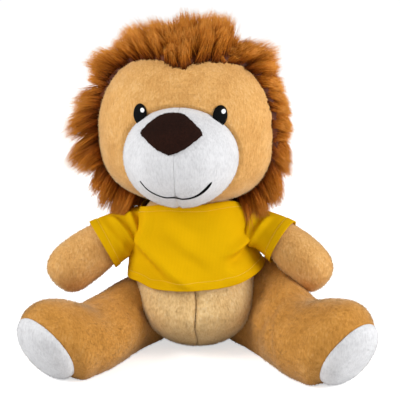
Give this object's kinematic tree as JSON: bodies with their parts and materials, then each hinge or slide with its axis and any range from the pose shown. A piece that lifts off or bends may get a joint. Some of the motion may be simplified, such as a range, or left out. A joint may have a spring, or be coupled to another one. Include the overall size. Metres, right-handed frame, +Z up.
{
  "type": "plush lion",
  "caption": "Seated stuffed lion with a long-pile mane, a domed muzzle, embroidered eyes and a smile, stubby arms, splayed legs with domed soles, and a short-sleeved knitted shirt.",
  "frame": {"origin": "on the surface that it sits on, under the middle of its outline seen from above, about 3 mm in front of the middle of the torso", "axes": "+Z up; the face and the soles look along -Y; the lion's own right side is at -X, its left side at +X"},
  "size_m": [0.2725, 0.2413, 0.2652],
  "materials": {
    "tan_plush": "short-pile tan plush",
    "belly_plush": "short-pile beige plush",
    "white_plush": "short-pile white plush",
    "nose_plush": "very short dark brown pile",
    "mane_fur": "long-pile ginger fur fabric",
    "black_thread": "black satin-stitch embroidery",
    "white_thread": "white satin-stitch embroidery",
    "yellow_jersey": "golden yellow single jersey",
    "yellow_tape": "woven hook and loop tape",
    "fibre_filling": "loose polyester fibre"
  },
  "bodies": {
    "torso": {"belly_panel_left": "belly_plush", "belly_panel_right": "belly_plush", "back_panel": "tan_plush", "torso_filling": "fibre_filling", "shirt_front": "yellow_jersey", "shirt_back_left": "yellow_jersey", "shirt_back_right": "yellow_jersey", "closure_loop_tape": "yellow_tape", "closure_hook_tape": "yellow_tape", "sleeve_left": "yellow_jersey", "sleeve_right": "yellow_jersey"},
    "head": {"face_panel": "tan_plush", "muzzle_panel_left": "white_plush", "muzzle_panel_right": "white_plush", "nose_patch": "nose_plush", "mouth_stitching": "black_thread", "eye_left": "black_thread", "eye_right": "black_thread", "eye_glint_left": "white_thread", "eye_glint_right": "white_thread", "mane_band": "mane_fur", "mane_back_left": "mane_fur", "mane_back_right": "mane_fur", "head_filling": "fibre_filling"},
    "arm_left": {"arm_cover_left": "tan_plush", "arm_filling_left": "fibre_filling"},
    "arm_right": {"arm_cover_right": "tan_plush", "arm_filling_right": "fibre_filling"},
    "leg_left": {"leg_cover_left": "tan_plush", "sole_left": "white_plush", "leg_filling_left": "fibre_filling"},
    "leg_right": {"leg_cover_right": "tan_plush", "sole_right": "white_plush", "leg_filling_right": "fibre_filling"},
    "tail": {"tail_tube": "tan_plush", "tail_tuft": "mane_fur"}
  },
  "joints": [
    {"name": "head_turn", "type": "hinge", "parent": "torso", "child": "head", "pos_m": [-0.0075, 0.002, 0.184], "axis": [0, 0, 1], "range_deg": [-25, 25], "stiffness_Nm_per_rad": 0.3},
    {"name": "arm_left_lift", "type": "hinge", "parent": "torso", "child": "arm_left", "pos_m": [0.03423, 0.002, 0.098], "axis": [0, -1, 0], "range_deg": [-2, 22], "stiffness_Nm_per_rad": 0.15, "deforming": ["sleeve_left"]},
    {"name": "arm_right_lift", "type": "hinge", "parent": "torso", "child": "arm_right", "pos_m": [-0.04177, 0.002, 0.098], "axis": [0, 1, 0], "range_deg": [-2, 22], "stiffness_Nm_per_rad": 0.15, "deforming": ["sleeve_right"]},
    {"name": "leg_left_spread", "type": "hinge", "parent": "torso", "child": "leg_left", "pos_m": [0.04467, -0.00848, 0], "axis": [0, 0, 1], "range_deg": [-12, 4], "stiffness_Nm_per_rad": 0.25},
    {"name": "leg_right_spread", "type": "hinge", "parent": "torso", "child": "leg_right", "pos_m": [-0.04467, 0.00248, 0], "axis": [0, 0, -1], "range_deg": [-12, 4], "stiffness_Nm_per_rad": 0.25},
    {"name": "tail_swing", "type": "hinge", "parent": "torso", "child": "tail", "pos_m": [0, 0.039, 0.016], "axis": [0, 0, 1], "range_deg": [-20, 20], "stiffness_Nm_per_rad": 0.02}
  ]
}
